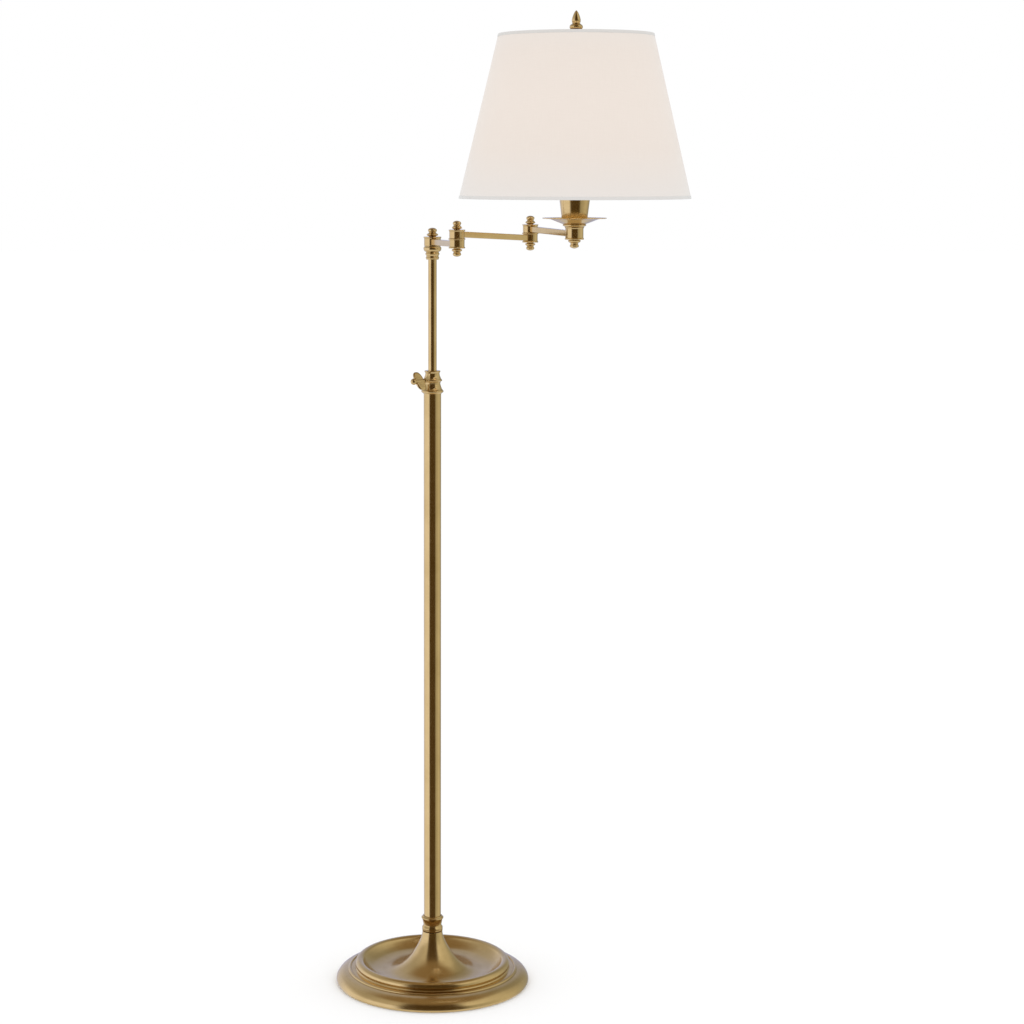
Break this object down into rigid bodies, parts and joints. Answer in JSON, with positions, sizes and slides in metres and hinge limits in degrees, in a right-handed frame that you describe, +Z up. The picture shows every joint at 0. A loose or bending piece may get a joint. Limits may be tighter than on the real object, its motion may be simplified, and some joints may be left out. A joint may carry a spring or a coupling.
{
  "type": "adjustable arm floor lamp",
  "caption": "Brass floor lamp: round weighted base, telescopic post with thumbscrew clamp, folding swing arm of square tube and a tapered linen shade over a lamp holder.",
  "frame": {"origin": "on the floor, at the centre of the round base's felt underside, below the post's axis", "axes": "+Z up along the post, -Y towards the lamp's front, where the middle arm joint stands forward, +X to its right, where the shade hangs"},
  "size_m": [0.4789, 0.4731, 1.3743],
  "materials": {
    "antique_brass": "antique, burnished and brushed along its length, lacquered",
    "zinc_steel": "zinc plated",
    "cast_iron": "as cast, painted",
    "felt": "pressed felt",
    "nylon": "moulded",
    "phenolic": "moulded phenolic",
    "bulb_glass": "frosted inside",
    "linen": "plain woven linen on a translucent liner"
  },
  "bodies": {
    "base": {"felt_pad": "felt", "base_weight": "cast_iron", "base_shell": "antique_brass", "cord_gland": "phenolic", "base_washer": "zinc_steel", "base_nut": "zinc_steel", "base_nipple": "zinc_steel", "base_collar": "antique_brass", "tube_plug": "antique_brass", "lower_tube": "antique_brass", "clamp_collar": "antique_brass"},
    "thumbscrew": {"thumbscrew": "antique_brass"},
    "mast": {"stop_bushing": "nylon", "upper_tube": "antique_brass", "post_head": "antique_brass", "shoulder_washer": "antique_brass", "shoulder_pin": "zinc_steel", "shoulder_knob": "antique_brass"},
    "arm_1": {"arm_1_inner_knuckle": "antique_brass", "arm_1_bar": "antique_brass", "arm_1_outer_knuckle": "antique_brass", "elbow_1_ring": "antique_brass", "elbow_1_pin": "zinc_steel", "elbow_1_top_knob": "antique_brass", "elbow_1_bottom_knob": "antique_brass"},
    "arm_2": {"arm_2_inner_knuckle": "antique_brass", "arm_2_bar": "antique_brass", "arm_2_outer_knuckle": "antique_brass", "elbow_2_ring": "antique_brass", "elbow_2_pin": "zinc_steel", "elbow_2_top_knob": "antique_brass", "elbow_2_bottom_knob": "antique_brass"},
    "arm_3": {"arm_3_inner_knuckle": "antique_brass", "arm_3_bar": "antique_brass", "head_knuckle": "antique_brass", "head_nipple": "zinc_steel", "head_bottom_knob": "antique_brass", "cup_seat": "antique_brass", "drip_plate": "antique_brass", "socket_cup": "antique_brass", "socket_cap": "antique_brass", "socket_shell": "antique_brass", "socket_core": "phenolic", "screw_shell": "zinc_steel", "bulb_cap": "zinc_steel", "bulb_glass": "bulb_glass", "harp_saddle": "zinc_steel", "harp": "antique_brass", "harp_sleeve_left": "antique_brass", "harp_sleeve_right": "antique_brass", "shade_top_ring": "antique_brass", "shade_spider": "antique_brass", "shade_hoop": "zinc_steel", "shade": "linen"},
    "dimmer": {"dimmer_knob": "phenolic"},
    "finial": {"finial": "antique_brass"}
  },
  "joints": [
    {"name": "height_slide", "type": "slide", "parent": "base", "child": "mast", "axis": [0, 0, 1], "range_m": [-0.15, 0.15]},
    {"name": "shoulder_turn", "type": "hinge", "parent": "mast", "child": "arm_1", "pos_m": [0, 0, 1.07], "axis": [0, 0, 1], "range_deg": [-165, 165]},
    {"name": "elbow_1_turn", "type": "hinge", "parent": "arm_1", "child": "arm_2", "pos_m": [0.0326, -0.14887, 1.0778], "axis": [0, 0, 1], "range_deg": [-180, 40]},
    {"name": "elbow_2_turn", "type": "hinge", "parent": "arm_2", "child": "arm_3", "pos_m": [0.13477, -0.0358, 1.0821], "axis": [0, 0, 1], "range_deg": [-42, 180]},
    {"name": "thumbscrew_turn", "type": "hinge", "parent": "base", "child": "thumbscrew", "pos_m": [0, 0, 0.8764], "axis": [-0.7071, -0.7071, 0], "range_deg": [0, 360]},
    {"name": "dimmer_turn", "type": "hinge", "parent": "arm_3", "child": "dimmer", "pos_m": [0.18702, -0.17896, 1.152], "axis": [0, 1, 0], "range_deg": [0, 300]},
    {"name": "finial_turn", "type": "hinge", "parent": "arm_3", "child": "finial", "pos_m": [0.18702, -0.17896, 1.36], "axis": [0, 0, 1], "range_deg": [0, 360]}
  ]
}
